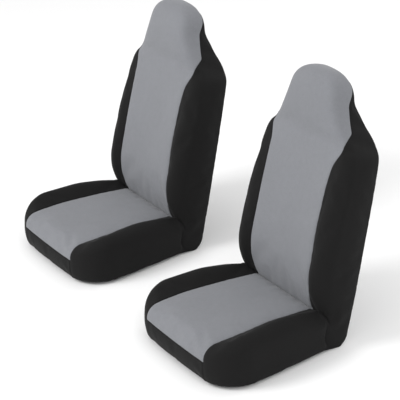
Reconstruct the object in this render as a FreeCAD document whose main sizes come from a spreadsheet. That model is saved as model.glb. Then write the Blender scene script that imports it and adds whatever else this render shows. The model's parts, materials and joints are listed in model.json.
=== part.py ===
"""Pair of high-back bucket seat covers: two hollow fabric covers, side by side, each on its own hem.

Row frame: +Z up, the covers face -Y, +X is the sitter's left. Units are millimetres.
Each cover is drawn twice: the seat bottom in upright axes, and the backrest in axes that lean with it,
where Z runs up the backrest from the recline axis and Y runs to the rear, square to it.
"""
import FreeCAD, Part
import math
import os
import Sketcher
from FreeCAD import Placement, Rotation, Vector

SIZES = {
    # the pair
    "half_spacing": 435.0,
    "depth_centre": 343.97,
    # how far a cutting solid runs past the piece it cuts
    "past": 10.0,
    # cloth and hems
    "cloth": 4.0,
    "hem_wall": 9.0,
    "hem_tall": 16.0,
    "band_outside": 3.0,
    "band_inside": 6.0,
    "band_low": 5.0,
    "band_high": 11.0,
    # recline axis
    "pivot_rear": 468.0,
    "pivot_up": 52.0,
    "pivot_round": 51.5,
    "lean": 16.0,
    "back_hem_wall": 6.0,
    "back_hem_turn": 58.0,
    "back_band_turn": 12.0,
    "back_band_edge": 3.6,
    "back_band_outside": 1.5,
    "back_band_inside": 4.5,
    # how the bolsters' rounded corners are broken into flats
    "bend_share": 0.3,
    "rear_bend_share": 0.4,
    # seams of the backrest, across and along it
    "seam_bight": 156.0,
    "seam_waist": 163.0,
    "seam_chest": 161.0,
    "seam_shoulder": 184.0,
    "seam_collar": 176.0,
    "collar_up": 648.0,
    "temple_up": 745.0,
    "head_seam_low": -36.0,
    "head_seam_high": -35.0,
    "chest_skin": 20.0,
    "rear_seam_inset": 14.0,
    "crown_seam_inset": 18.8,
    "rear_seam_skin": 8.0,
    "rear_seam_top": 790.0,
    # seams of the seat bottom
    "seat_seam_rear": 155.0,
    "seat_seam_middle": 166.0,
    "seat_seam_front": 163.0,
    "front_band_tall": 88.0,
    "front_band_lap": 2.0,
    # flap through the bight and its straps
    "flap_half": 150.0,
    "flap_thick": 3.0,
    "flap_low": 4.0,
    "pull_place": 90.0,
    "pull_half": 10.0,
    "pull_thick": 1.4,
    "pull_clear": 0.7,
    "pull_sewn": 40.0,
    # wire hook
    "hook_place": 303.0,
    "hook_pin": 2.0,
    "hook_fit": 0.3,
    "hook_half": 14.5,
    "hook_arm": 3.0,
    "hook_low": 0.8,
    "hook_high": 6.0,
    "hook_reach": 42.0,
    "hook_bend": 16.8,
    "hook_lap": 1.0,
    "hook_tongue": 4.0,
    "hook_wire": 3.6,
    "hook_rise": 15.6,
    "hook_return": 15.0,
    # strap across the underside, with its buckle and slider
    "cross_place": 200.0,
    "cross_half": 12.5,
    "cross_low": 7.0,
    "cross_thick": 1.4,
    "socket_long": 40.0,
    "socket_half": 15.0,
    "socket_low": 2.0,
    "socket_tall": 12.0,
    "socket_wall": 2.0,
    "socket_side": 3.5,
    "socket_deep": 30.0,
    "window_near": 11.0,
    "window_long": 13.0,
    "window_inset": 2.8,
    "plug_base": 14.0,
    "plug_gap": 0.5,
    "plug_reach": 25.0,
    "plug_inset": 0.4,
    "plug_step": 1.0,
    "prong_wide": 3.2,
    "guide_half": 2.0,
    "guide_reach": 20.0,
    "slider_place": 110.0,
    "slider_long": 26.0,
    "slider_half": 17.0,
    "slider_rail": 4.0,
    "slider_bar": 5.0,
    "slider_wall": 3.0,
}

# Backrest sections, from the recline axis up: height, half width, forward depth at the centre, at the
# seam and at the bolster's crest, where the seam lies, size of the bolster's rounding, rear depth.
BACK_FIELDS = ("up", "half", "centre", "valley", "crest", "seam", "round", "rear")
BACK_SECTIONS = {
    "foot": (0, 246, 50, 50, 50, 156, 12, 51.5),
    "bight": (63, 246, 54, 52, 52, 156, 14, 51.5),
    "sacrum": (125, 245, 78, 76, 92, 158, 40, 51.5),
    "lumbar": (200, 243, 90, 98, 114, 164, 46, 51.5),
    "waist": (330, 241, 90, 99, 112, 160, 46, 51.5),
    "chest": (460, 236, 84, 94, 100, 160, 42, 51.5),
    "shoulder": (587, 222, 82, 82, 82, 165, 36, 51.5),
    "collar": (641, 171, 92, 88, 86, 129, 34, 45),
    "neck": (661, 156, 98, 94, 90, 114, 34, 37),
    "cheek": (720, 124, 108, 104, 100, 84, 34, 10),
    "brow": (765, 112, 110, 106, 100, 72, 36, -4),
    "crown": (798, 86, 94, 90, 84, 50, 30, -12),
    "top": (812, 52, 70, 68, 66, 28, 16, -24),
}

# Seat bottom sections, from the front face to the rear: distance, half width, height at the centre, at
# the bolster's crest, where the seam lies, size of the rounding over the side.
SEAT_FIELDS = ("rear", "half", "crown", "crest", "seam", "round")
SEAT_SECTIONS = {
    "face": (0, 138, 104, 100, 100, 14),
    "lip": (12, 193, 126, 126, 130, 26),
    "nose": (40, 232, 140, 150, 154, 38),
    "thigh": (80, 258, 142, 161, 160, 46),
    "front": (130, 268, 142, 168, 166, 48),
    "middle": (240, 264, 139, 167, 162, 48),
    "hip": (340, 256, 132, 152, 156, 46),
    "end": (414, 250, 124, 136, 155, 40),
}

COVERS = {"driver": 1, "passenger": -1}
SIDES = {"left": 1, "right": -1}
FAR = 400.0
NODE_LIMIT = 60

doc = FreeCAD.newDocument("seat_cover_pair")
sheet = doc.addObject("Spreadsheet::Sheet", "Sizes")
nodes = []


def fill_sheet():
    """Write every driving size to the sheet as a plain number with an alias."""
    rows = dict(SIZES)
    for group, fields, sections in (("back", BACK_FIELDS, BACK_SECTIONS),
                                    ("seat", SEAT_FIELDS, SEAT_SECTIONS)):
        for name, values in sections.items():
            for field, value in zip(fields, values):
                rows[f"{group}_{name}_{field}"] = value
    for number, (alias, value) in enumerate(rows.items(), start=1):
        sheet.set(f"A{number}", alias)
        sheet.set(f"B{number}", str(value))
        sheet.setAlias(f"B{number}", alias)
    doc.recompute()


def size(alias):
    """A driving size's value, for the few shapes that are worked out here."""
    return float(getattr(sheet, alias))


def cell(text):
    """An expression written with bare aliases, with each alias pointed at the sheet."""
    words = []
    for word in text.split():
        plain = word.strip("()-")
        named = plain.replace("_", "").isalpha() and plain != ""
        words.append(word.replace(plain, f"Sizes.{plain}") if named else word)
    return " ".join(words)


def bind(thing, **expressions):
    """Bind properties to expressions; a double underscore stands for the dot in a property's path."""
    for path, text in expressions.items():
        thing.setExpression(path.replace("__", "."), cell(str(text)))


# ---------------------------------------------------------------- solids that the pieces are cut from

def origin_plane(body, role):
    return next(feature for feature in body.Origin.OriginFeatures if feature.Role == role)


def outline(body, name, role, corners, offset="0"):
    """A closed sketch of straight edges; each corner is an (across, up) pair of expressions."""
    sketch = body.newObject("Sketcher::SketchObject", name)
    sketch.AttachmentSupport = (origin_plane(body, role), [""])
    sketch.MapMode = "FlatFace"
    bind(sketch, AttachmentOffset__Base__z=offset)
    count = len(corners)
    turns = [2 * math.pi * index / count for index in range(count)]
    start = [Vector(100 * math.cos(turn), 100 * math.sin(turn), 0) for turn in turns]
    for index in range(count):
        sketch.addGeometry(Part.LineSegment(start[index], start[(index + 1) % count]))
    for index in range(count):
        sketch.addConstraint(Sketcher.Constraint("Coincident", index, 2, (index + 1) % count, 1))
    for index, (across, up) in enumerate(corners):
        for kind, place, text in (("DistanceX", start[index].x, across), ("DistanceY", start[index].y, up)):
            number = sketch.addConstraint(Sketcher.Constraint(kind, -1, 1, index, 1, place))
            sketch.setExpression(f"Constraints[{number}]", cell(text))
    return sketch


def mirrored(half):
    """Corners of a whole section from those of its +X half, whose first corner is on the centre line."""
    return half + [(f"-( {across} )", up) for across, up in reversed(half[1:])]


def loft(name, sketches_of):
    """A body lofted straight from section to section."""
    body = doc.addObject("PartDesign::Body", name)
    sketches = sketches_of(body)
    feature = body.newObject("PartDesign::AdditiveLoft", name + "_loft")
    feature.Profile = sketches[0]
    feature.Sections = sketches[1:]
    feature.Ruled = True
    return body


def back_form(name, inset):
    """The backrest's form, drawn in by inset all round; a drawn-in form runs out through the bottom."""
    def sketches_of(body):
        sketches = []
        for section in BACK_SECTIONS:
            use = {field: f"back_{section}_{field}" for field in BACK_FIELDS}
            half = f"{use['half']} - {inset}"
            valley = f"-( {use['valley']} - {inset} )"
            crest = f"-( {use['crest']} - {inset} )"
            rear = f"{use['rear']} - {inset}"
            bend = use["round"]
            corners = [
                ("0", f"-( {use['centre']} - {inset} )"),
                (use["seam"], valley),
                (f"{half} - {bend}", crest),
                (f"{half} - bend_share * {bend}", f"{crest} + bend_share * {bend}"),
                (half, f"{crest} + {bend}"),
                (half, f"{rear} - rear_bend_share * {bend}"),
                (f"{half} - rear_bend_share * {bend}", rear),
            ]
            up = use["up"]
            if section == "foot" and inset != "0":
                up = f"{up} - 2 * past"
            if section == "top":
                up = f"{up} - {inset}"
            sketches.append(outline(body, f"{name}_{section}", "XY_Plane", mirrored(corners), up))
        return sketches
    return loft(name, sketches_of)


def seat_form(name, inset):
    """The seat bottom's form, drawn in by inset; it runs past the bottom, and drawn in past the rear too."""
    def sketches_of(body):
        sketches = []
        for section in SEAT_SECTIONS:
            use = {field: f"seat_{section}_{field}" for field in SEAT_FIELDS}
            half = f"{use['half']} - {inset}"
            crest = f"{use['crest']} - {inset}"
            bend = use["round"]
            corners = [
                ("0", f"{use['crown']} - {inset}"),
                (f"{use['seam']} - {inset}", f"0.5 * {use['crown']} + 0.5 * {use['crest']} - {inset}"),
                (f"{half} - {bend}", crest),
                (f"{half} - bend_share * {bend}", f"{crest} - bend_share * {bend}"),
                (half, f"{crest} - {bend}"),
                (half, "- past"),
            ]
            rear = use["rear"]
            if section == "face":
                rear = f"{rear} + {inset}"
            if section == "end" and inset != "0":
                rear = f"{rear} + past"
            sketches.append(outline(body, f"{name}_{section}", "XZ_Plane", mirrored(corners), f"-( {rear} )"))
        return sketches
    return loft(name, sketches_of)


def prism(name, role, corners, low, high):
    """A straight prism over an outline, from low to high along the plane's normal."""
    body = doc.addObject("PartDesign::Body", name)
    sketch = outline(body, name + "_outline", role, corners, low)
    pad = body.newObject("PartDesign::Pad", name + "_pad")
    pad.Profile = sketch
    bind(pad, Length=f"( {high} ) - ( {low} )")
    return body


def box(name, low, high):
    """A box between two corners, each three expressions."""
    block = doc.addObject("Part::Box", name)
    spans = [f"( {top} ) - ( {bottom} )" for bottom, top in zip(low, high)]
    bind(block, Length=spans[0], Width=spans[1], Height=spans[2])
    bind(block, Placement__Base__x=low[0], Placement__Base__y=low[1], Placement__Base__z=low[2])
    return block


def rod(name, radius, length, centre):
    """A cylinder along +X from centre."""
    cylinder = doc.addObject("Part::Cylinder", name)
    cylinder.Placement = Placement(Vector(0, 0, 0), Rotation(Vector(0, 1, 0), 90))
    bind(cylinder, Radius=radius, Height=length)
    bind(cylinder, Placement__Base__x=centre[0], Placement__Base__y=centre[1], Placement__Base__z=centre[2])
    return cylinder


def join(name, *parts):
    fused = doc.addObject("Part::MultiFuse", name)
    fused.Shapes = list(parts)
    return fused


def keep(name, *parts):
    common = doc.addObject("Part::MultiCommon", name)
    common.Shapes = list(parts)
    return common


def cut(name, base, tool):
    left = doc.addObject("Part::Cut", name)
    left.Base = base
    left.Tool = tool
    return left


# ---------------------------------------------------------------- placing the finished pieces

def place_on_seat(piece, cover):
    """Put a piece drawn in the seat bottom's axes in its cover."""
    bind(piece, Placement__Base__x=f"{COVERS[cover]} * half_spacing", Placement__Base__y="- depth_centre")


def place_on_back(piece, cover):
    """Put a piece drawn in the backrest's leaning axes in its cover."""
    piece.Placement = Placement(Vector(0, 0, 0), Rotation(Vector(-1, 0, 0), size("lean")))
    bind(piece, Placement__Base__x=f"{COVERS[cover]} * half_spacing",
         Placement__Base__y="pivot_rear - depth_centre", Placement__Base__z="pivot_up",
         Placement__Rotation__Angle="lean")


def finish(cover, name, make, place):
    """Make a piece for one cover, name it and put it in place."""
    label = f"{cover}_{name}"
    piece = make(label + "_solid")
    place(piece, cover)
    piece.Label = label
    nodes.append(piece)


# ---------------------------------------------------------------- backrest pieces

def back_stock():
    """The cloth shell of the backrest and the regions that its seams divide it into."""
    stock = {"shell": cut("back_shell", back_form("back_outside", "0"), back_form("back_inside", "cloth"))}
    chest_seams = [
        ("seam_bight", "back_bight_up"),
        ("seam_waist", "back_lumbar_up"),
        ("seam_waist", "back_waist_up"),
        ("seam_chest", "back_chest_up"),
        ("seam_shoulder", "back_shoulder_up"),
        ("seam_collar", "collar_up"),
    ]
    chest = chest_seams + [(f"- {across}", up) for across, up in reversed(chest_seams)]
    # the XZ plane's normal points to the front
    stock["chest"] = prism("chest_region", "XZ_Plane", chest, "chest_skin", FAR)
    head = [
        (f"- {FAR}", "collar_up"),
        ("head_seam_low", "collar_up"),
        ("head_seam_high", "temple_up"),
        ("back_brow_rear - rear_seam_skin", "rear_seam_top"),
        (f"{FAR}", "rear_seam_top"),
        (f"{FAR}", f"{3 * FAR}"),
        (f"- {FAR}", f"{3 * FAR}"),
    ]
    stock["head"] = prism("head_region", "YZ_Plane", head, f"- {FAR}", FAR)
    rear_names = ["shoulder", "collar", "neck", "cheek", "brow"]
    skin = [(f"back_{name}_rear - rear_seam_skin", f"back_{name}_up") for name in rear_names]
    skin = [("back_foot_rear - rear_seam_skin", "0")] + skin
    skin += [("back_brow_rear - rear_seam_skin", "rear_seam_top"), (f"{FAR}", "rear_seam_top"),
             (f"{FAR}", "0")]
    rear_skin = prism("rear_skin_region", "YZ_Plane", skin, f"- {FAR}", FAR)
    edge_names = ["foot", "chest", "shoulder", "collar", "neck", "cheek", "brow"]
    edge = [(f"back_{name}_half - rear_seam_inset", f"back_{name}_up") for name in edge_names]
    edge += [("back_brow_half - crown_seam_inset", "rear_seam_top")]
    edge = edge + [(f"-( {across} )", up) for across, up in reversed(edge)]
    rear_edge = prism("rear_edge_region", "XZ_Plane", edge, f"- {FAR}", FAR)
    stock["rear"] = keep("rear_region", rear_skin, rear_edge)
    return stock


def back_pieces(stock):
    """Centre, side and rear panels, and the hem round the bottom, each drawn once for both covers."""
    front = join("front_region", stock["chest"], stock["head"])
    bight = box("bight_region", ("- seam_bight", f"- {FAR}", "- past"), ("seam_bight", "0", "back_bight_up"))
    taken = join("centre_and_rear_region", stock["chest"], stock["head"], stock["rear"], bight)
    side_cloth = cut("side_cloth", stock["shell"], taken)

    def side_panel(name, side):
        """A side panel with the round end that turns about the recline axis."""
        sign = SIDES[side]
        low = "0" if sign > 0 else f"- {FAR}"
        high = f"{FAR}" if sign > 0 else "0"
        half_space = box(name + "_half_space", (low, f"- {FAR}", f"- {FAR}"), (high, f"{FAR}", f"{3 * FAR}"))
        sheet_part = keep(name + "_sheet", side_cloth, half_space)
        start = "back_foot_half - cloth" if sign > 0 else "- back_foot_half"
        end = rod(name + "_round_end", "pivot_round", "cloth", (start, "0", "0"))
        return join(name, sheet_part, end)

    def hem_sector(name, outer, inner, first, turn):
        """A strip of the hem that wraps the round end: a tube sector about the recline axis.

        It spans turn degrees and ends first degrees below the rearmost line of the round end.
        """
        start = "-( back_foot_half - cloth )"
        length = "2 * ( back_foot_half - cloth )"
        outside = rod(name + "_outside", outer, length, (start, "0", "0"))
        inside = rod(name + "_inside", inner, length, (start, "0", "0"))
        for part in (outside, inside):
            about_axis = Rotation(Vector(1, 0, 0), 90 - first - turn)
            part.Placement.Rotation = about_axis.multiply(Rotation(Vector(0, 1, 0), 90))
            bind(part, Angle=f"{turn}")
        return cut(name, outside, inside)

    def rear_hem(name):
        turn = size("back_hem_turn")
        strip = hem_sector(name + "_strip", "pivot_round", "pivot_round - back_hem_wall", 0, turn)
        return cut(name, strip, rear_band(name + "_slot"))

    def rear_band(name):
        turn = size("back_band_turn")
        first = size("back_hem_turn") - size("back_band_edge") - turn
        outside, inside = "pivot_round - back_band_outside", "pivot_round - back_band_inside"
        return hem_sector(name, outside, inside, first, turn)

    return {
        "back_centre_panel": lambda name: keep(name, stock["shell"], front),
        "back_left_side": lambda name: side_panel(name, "left"),
        "back_right_side": lambda name: side_panel(name, "right"),
        "back_rear_panel": lambda name: keep(name, stock["shell"], stock["rear"]),
        "back_hem": rear_hem,
        "back_hem_elastic": rear_band,
    }


# ---------------------------------------------------------------- seat bottom pieces

def seat_stock():
    """The cloth shell of the seat bottom, its hem and the regions that its seams divide it into."""
    stock = {"form": seat_form("seat_outside", "0"), "inside": seat_form("seat_inside", "cloth")}
    stock["within_hem"] = seat_form("seat_within_hem", "hem_wall")
    shell = cut("seat_shell", stock["form"], stock["inside"])
    above_hem = box("above_hem", (f"- {FAR}", f"- {FAR}", "hem_tall"), (f"{FAR}", f"{2 * FAR}", FAR))
    stock["shell"] = keep("seat_cloth", shell, above_hem)
    top_seams = [
        ("seat_seam_front", "- past"),
        ("seat_seam_middle", "seat_front_rear"),
        ("seat_seam_rear", f"{2 * FAR}"),
    ]
    top = top_seams + [(f"- {across}", rear) for across, rear in reversed(top_seams)]
    stock["top"] = prism("seat_top_region", "XY_Plane", top, "front_band_tall", FAR)
    stock["band"] = box("front_band_region", ("-( seat_face_half - front_band_lap )", "- past", "0"),
                        ("seat_face_half - front_band_lap", "seat_lip_rear", "front_band_tall"))
    return stock


def seat_pieces(stock):
    """Top panel, side panels, front band and the hem with the elastic inside it."""
    taken = join("seat_taken_region", stock["top"], stock["band"])
    side_cloth = cut("seat_side_cloth", stock["shell"], taken)

    def side_panel(name, side):
        sign = SIDES[side]
        low = "0" if sign > 0 else f"- {FAR}"
        high = f"{FAR}" if sign > 0 else "0"
        half_space = box(name + "_half_space", (low, "- past", "- past"), (high, f"{2 * FAR}", FAR))
        return keep(name, side_cloth, half_space)

    def elastic(name):
        outside = seat_form(name + "_outside", "band_outside")
        inside = seat_form(name + "_inside", "band_inside")
        slab = box(name + "_slab", (f"- {FAR}", "- past", "band_low"),
                   (f"{FAR}", "seat_end_rear", "band_high"))
        return keep(name, cut(name + "_strip", outside, inside), slab)

    def hem(name):
        slab = box(name + "_slab", (f"- {FAR}", "- past", "0"), (f"{FAR}", f"{2 * FAR}", "hem_tall"))
        ring = cut(name + "_ring", stock["form"], stock["within_hem"])
        return cut(name, keep(name + "_channel", ring, slab), elastic(name + "_slot"))

    def flap(name):
        """The flap that is pushed through the gap between seat and backrest."""
        rear = "seat_end_rear + flap_thick"
        footprint = [("- flap_half", "seat_end_rear"), ("flap_half", "seat_end_rear"),
                     ("flap_half", rear), ("- flap_half", rear)]
        return prism(name, "XY_Plane", footprint, "flap_low", "seat_end_crown")

    return {
        "seat_top_panel": lambda name: keep(name, stock["shell"], stock["top"]),
        "seat_left_side": lambda name: side_panel(name, "left"),
        "seat_right_side": lambda name: side_panel(name, "right"),
        "seat_front_band": lambda name: keep(name, stock["shell"], stock["band"]),
        "seat_hem": hem,
        "seat_hem_elastic": elastic,
        "bight_flap": flap,
    }


# ---------------------------------------------------------------- straps, buckle, slider and hooks

def strap_box(name, low_x, high_x):
    """A length of the strap that crosses the underside."""
    return box(name, (low_x, "cross_place - cross_half", "cross_low"),
               (high_x, "cross_place + cross_half", "cross_low + cross_thick"))


def strap_pieces(stock):
    """The cross strap in its two halves, its slider and the two halves of its side-release buckle."""
    def left_strap(name):
        return keep(name, strap_box(name + "_webbing", "socket_long", FAR), stock["within_hem"])

    def right_strap(name):
        return keep(name, strap_box(name + "_webbing", f"- {FAR}", "- plug_base"), stock["within_hem"])

    def slider(name):
        near, far = "slider_place", "slider_place + slider_long"
        front, rear = "cross_place - slider_half", "cross_place + slider_half"
        strap_top = "cross_low + cross_thick"
        bottom, top = "cross_low - slider_wall", f"{strap_top} + slider_wall"
        middle = "slider_place + 0.5 * slider_long"
        rails = [
            box(name + "_front_rail", (near, front, bottom), (far, f"{front} + slider_rail", top)),
            box(name + "_rear_rail", (near, f"{rear} - slider_rail", bottom), (far, rear, top)),
            box(name + "_near_bar", (near, front, bottom), (f"{near} + slider_bar", rear, "cross_low")),
            box(name + "_far_bar", (f"{far} - slider_bar", front, bottom), (far, rear, "cross_low")),
            box(name + "_middle_bar", (f"{middle} - 0.5 * slider_bar", front, strap_top),
                (f"{middle} + 0.5 * slider_bar", rear, top)),
        ]
        return join(name, *rails)

    def socket(name):
        bottom, top = "socket_low", "socket_low + socket_tall"
        body = box(name + "_body", ("0", "cross_place - socket_half", bottom),
                   ("socket_long", "cross_place + socket_half", top))
        mouth = box(name + "_mouth",
                    ("- past", "cross_place - ( socket_half - socket_side )", f"{bottom} + socket_wall"),
                    ("socket_deep", "cross_place + socket_half - socket_side", f"{top} - socket_wall"))
        windows = box(name + "_windows",
                      ("window_near", "cross_place - socket_half - past", f"{bottom} + window_inset"),
                      ("window_near + window_long", "cross_place + socket_half + past",
                       f"{top} - window_inset"))
        return cut(name, body, join(name + "_hollow", mouth, windows))

    def plug(name):
        inner = "socket_half - socket_side - plug_inset"
        bottom = "socket_low + socket_wall + plug_inset"
        top = "socket_low + socket_tall - socket_wall - plug_inset"
        parts = [box(name + "_base",
                     ("- plug_base", "cross_place - socket_half + plug_step", "socket_low + plug_step"),
                     ("- plug_gap", "cross_place + socket_half - plug_step",
                      "socket_low + socket_tall - plug_step"))]
        for sign, word in ((1, "rear"), (-1, "front")):
            edge = f"cross_place + {sign} * ( {inner} )"
            inward = f"{edge} - {sign} * prong_wide"
            low_y, high_y = (inward, edge) if sign > 0 else (edge, inward)
            parts.append(box(f"{name}_{word}_prong", ("- plug_base", low_y, bottom),
                             ("plug_reach", high_y, top)))
        parts.append(box(name + "_guide", ("- plug_base", "cross_place - guide_half", bottom),
                         ("guide_reach", "cross_place + guide_half", top)))
        return join(name, *parts)

    return {
        "cross_strap_left": left_strap,
        "cross_strap_right": right_strap,
        "strap_slider": slider,
        "buckle_socket": socket,
        "buckle_plug": plug,
    }


def pull_pieces(side):
    """One elastic pull strap of the flap, and the wire hook that turns in its end loop."""
    middle = f"{SIDES[side]} * pull_place"
    loop_radius = "hook_pin + hook_fit + pull_thick"
    pin_height = f"pull_clear + {loop_radius}"

    def pull_strap(name):
        low, high = f"{middle} - pull_half", f"{middle} + pull_half"
        sewn = box(name + "_sewn", (low, "seat_end_rear - pull_thick", "pull_clear"),
                   (high, "seat_end_rear", "pull_sewn"))
        flat = box(name + "_flat", (low, "hook_place", "pull_clear"),
                   (high, "seat_end_rear", "pull_clear + pull_thick"))
        loop = rod(name + "_loop", loop_radius, "2 * pull_half", (low, "hook_place", pin_height))
        bore = rod(name + "_bore", "hook_pin + hook_fit", "2 * pull_half", (low, "hook_place", pin_height))
        return cut(name, join(name + "_webbing", sewn, flat, loop), bore)

    def hook(name):
        low, high = f"{middle} - hook_half", f"{middle} + hook_half"
        reach = "hook_place - hook_reach"
        bend = "hook_place - hook_bend"
        tongue_low, tongue_high = f"{middle} - hook_tongue", f"{middle} + hook_tongue"
        parts = [rod(name + "_pin", "hook_pin", "2 * hook_half", (low, "hook_place", pin_height))]
        for word, start, end in (("near", low, f"{low} + hook_arm"), ("far", f"{high} - hook_arm", high)):
            parts.append(box(f"{name}_{word}_arm", (start, bend, "hook_low"),
                             (end, "hook_place + hook_lap", "hook_high")))
        parts.append(box(name + "_bridge", (low, f"{bend} - hook_wire", "hook_low"),
                         (high, bend, "hook_high")))
        parts.append(box(name + "_tongue", (tongue_low, reach, "hook_low"),
                         (tongue_high, bend, "hook_low + hook_wire")))
        parts.append(box(name + "_rise", (tongue_low, reach, "hook_low"),
                         (tongue_high, f"{reach} + hook_wire", "hook_rise")))
        parts.append(box(name + "_return", (tongue_low, reach, "hook_rise - hook_wire"),
                         (tongue_high, f"{reach} + hook_return", "hook_rise")))
        return join(name, *parts)

    return {f"pull_strap_{side}": pull_strap, f"hook_{side}": hook}


# ---------------------------------------------------------------- build, check and write

def check_document():
    """Stop if any object failed or any node isn't one valid solid."""
    failed = [thing.Name for thing in doc.Objects if {"Invalid", "Error"} & set(thing.State)]
    if failed:
        raise RuntimeError("failed objects: " + ", ".join(failed))
    for node in nodes:
        shape = node.Shape
        if shape.isNull() or not shape.isValid():
            raise RuntimeError(node.Label + " has no valid shape")
        if len(shape.Solids) != 1:
            volumes = [round(solid.Volume, 1) for solid in shape.Solids]
            raise RuntimeError(f"{node.Label} has {len(shape.Solids)} solids: {volumes}")
    if len(nodes) > NODE_LIMIT:
        raise RuntimeError("too many nodes")


def main():
    fill_sheet()
    back = back_stock()
    seat = seat_stock()
    back_makers = back_pieces(back)
    seat_makers = dict(seat_pieces(seat), **strap_pieces(seat))
    for side in SIDES:
        seat_makers.update(pull_pieces(side))
    for cover in COVERS:
        for name, make in back_makers.items():
            finish(cover, name, make, place_on_back)
        for name, make in seat_makers.items():
            finish(cover, name, make, place_on_seat)
    doc.recompute()
    check_document()
    os.makedirs("parts", exist_ok=True)
    for node in nodes:
        node.Shape.exportStep(f"parts/{node.Label}.step")
    corner = FreeCAD.BoundBox()
    for node in nodes:
        corner.add(node.Shape.BoundBox)
        print(f"{node.Label:36s} {node.Shape.Volume / 1000:9.2f} cm3")
    print(len(nodes), "nodes,", corner)


main()
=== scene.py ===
"""Looks of a pair of high-back bucket seat covers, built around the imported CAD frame.

One cover is built as a single welded skin in its own axes (X across from its middle, Y to the rear from its
front face, Z up from the floor, in metres), softened, then cut along its seams into panels of real thickness,
once for each of the two covers.
"""
import json
import math

import bmesh
import bpy
import numpy as np
from mathutils import Matrix, Vector, noise


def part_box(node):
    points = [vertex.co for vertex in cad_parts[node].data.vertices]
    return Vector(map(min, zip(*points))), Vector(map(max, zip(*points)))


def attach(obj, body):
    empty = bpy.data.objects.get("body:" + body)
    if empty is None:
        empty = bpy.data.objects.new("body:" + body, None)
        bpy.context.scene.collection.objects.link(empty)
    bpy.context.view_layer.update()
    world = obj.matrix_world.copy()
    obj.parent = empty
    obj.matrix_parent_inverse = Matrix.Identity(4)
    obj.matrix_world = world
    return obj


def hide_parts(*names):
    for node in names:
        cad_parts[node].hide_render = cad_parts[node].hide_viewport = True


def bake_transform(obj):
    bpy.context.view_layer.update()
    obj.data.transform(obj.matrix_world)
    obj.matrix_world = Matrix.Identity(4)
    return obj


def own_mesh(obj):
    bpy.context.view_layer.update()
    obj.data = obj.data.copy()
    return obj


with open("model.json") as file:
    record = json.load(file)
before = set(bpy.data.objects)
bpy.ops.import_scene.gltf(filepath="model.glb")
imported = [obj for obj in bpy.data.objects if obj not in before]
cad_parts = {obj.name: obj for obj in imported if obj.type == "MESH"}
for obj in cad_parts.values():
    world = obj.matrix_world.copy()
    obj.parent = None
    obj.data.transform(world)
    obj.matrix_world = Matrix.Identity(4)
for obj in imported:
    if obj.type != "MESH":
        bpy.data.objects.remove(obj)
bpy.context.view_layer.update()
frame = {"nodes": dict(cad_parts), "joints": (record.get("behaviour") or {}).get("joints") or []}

# ---------------------------------------------------------------- places from the frame, and driving sizes

joint_of = {joint["name"]: joint for joint in frame["joints"]}
COVERS = ("driver", "passenger")
MIDDLE = {cover: joint_of[cover + "_recline"]["pos_m"][0] for cover in COVERS}
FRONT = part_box("driver_seat_hem")[0].y
PIVOT_REAR = joint_of["driver_recline"]["pos_m"][1] - FRONT
PIVOT_UP = joint_of["driver_recline"]["pos_m"][2]
LEAN = math.radians(16)
ROUND_END = 0.0515
CLOTH = 0.0036

PANELS = ("back_centre_panel", "back_left_side", "back_right_side", "back_rear_panel", "back_hem",
          "seat_top_panel", "seat_left_side", "seat_right_side", "seat_front_band")
GREY = ("back_centre_panel", "seat_top_panel")
TOP_PANEL = PANELS.index("seat_top_panel")

# Backrest sections from the recline axis up, in mm: height, half width, forward depth at the centre, at the
# seam and at the bolster's crest, seam's place, rounding across and in depth, rear depth.
BACK_FIELDS = ("half", "centre", "valley", "crest", "seam", "round_x", "round_y", "rear")
BACK_SECTIONS = (
    (63, 246, 54, 54, 56, 156, 30, 24, 51),
    (95, 247, 70, 72, 84, 160, 44, 44, 51),
    (130, 247, 82, 86, 104, 163, 50, 56, 51),
    (200, 245, 90, 98, 116, 164, 50, 60, 51),
    (330, 242, 90, 100, 114, 160, 50, 60, 51),
    (460, 237, 84, 96, 102, 160, 46, 54, 51),
    (550, 230, 82, 88, 88, 164, 42, 46, 52),
    (582, 221, 82, 82, 82, 165, 40, 42, 55),
    (604, 200, 80, 78, 76, 154, 38, 40, 57),
    (622, 184, 84, 82, 80, 142, 36, 38, 55),
    (641, 170, 91, 87, 85, 129, 36, 36, 48),
    (661, 156, 98, 94, 90, 116, 34, 34, 37),
    (700, 135, 106, 102, 98, 93, 34, 34, 16),
    (735, 121, 110, 106, 102, 80, 34, 34, -3),
    (820, 110, 108, 102, 98, 70, 34, 34, -12),
)
BIGHT_UP = 0.063
REAR_ROUND = 0.014
REAR_CROWN = 0.004
SHOULDER_SEAM = 0.530
COLLAR = 0.648
HEAD_SEAM = (-0.036, -0.035)
DOME_FOOT = 0.742
DOME_TOP = 0.820
DOME_POWER = 2.4
DOME_REAR = 0.014
CROWN_SEAM = 0.798

# Seat bottom: height at the centre and at the bolster's crest, place of the seam, half width, by distance
# to the rear, in mm.
CROWN_LINE = ((0, 140), (48, 141), (80, 142), (130, 142), (240, 139), (340, 132), (414, 124))
CREST_LINE = ((0, 142), (48, 154), (80, 162), (130, 169), (240, 168), (340, 156), (414, 138))
SEAM_LINE = ((0, 158), (48, 169), (130, 170), (280, 160), (414, 155))
SIDE_LINE = ((130, 268), (240, 264), (340, 256), (414, 249), (440, 247.5))
CORNER_ROUND = 0.130
CORNER_X = 0.138
EDGE_ROUND = 0.046
FRONT_ROW = 0.048
FAN_ROW = 0.150
SEAT_END = 0.414
BIGHT_REAR = 0.439
BIGHT_HIGH = 0.112
BAND_HIGH = 0.090
HEM_RUN = 0.007
HEM_MIDDLE = 0.0042

GREY_COLUMNS = 17
BLACK_COLUMNS = 30
BAND_COLUMN = 16
REAR_COLUMNS = 20
SEAM_HALF = 0.0022


# ---------------------------------------------------------------- curves

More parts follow.
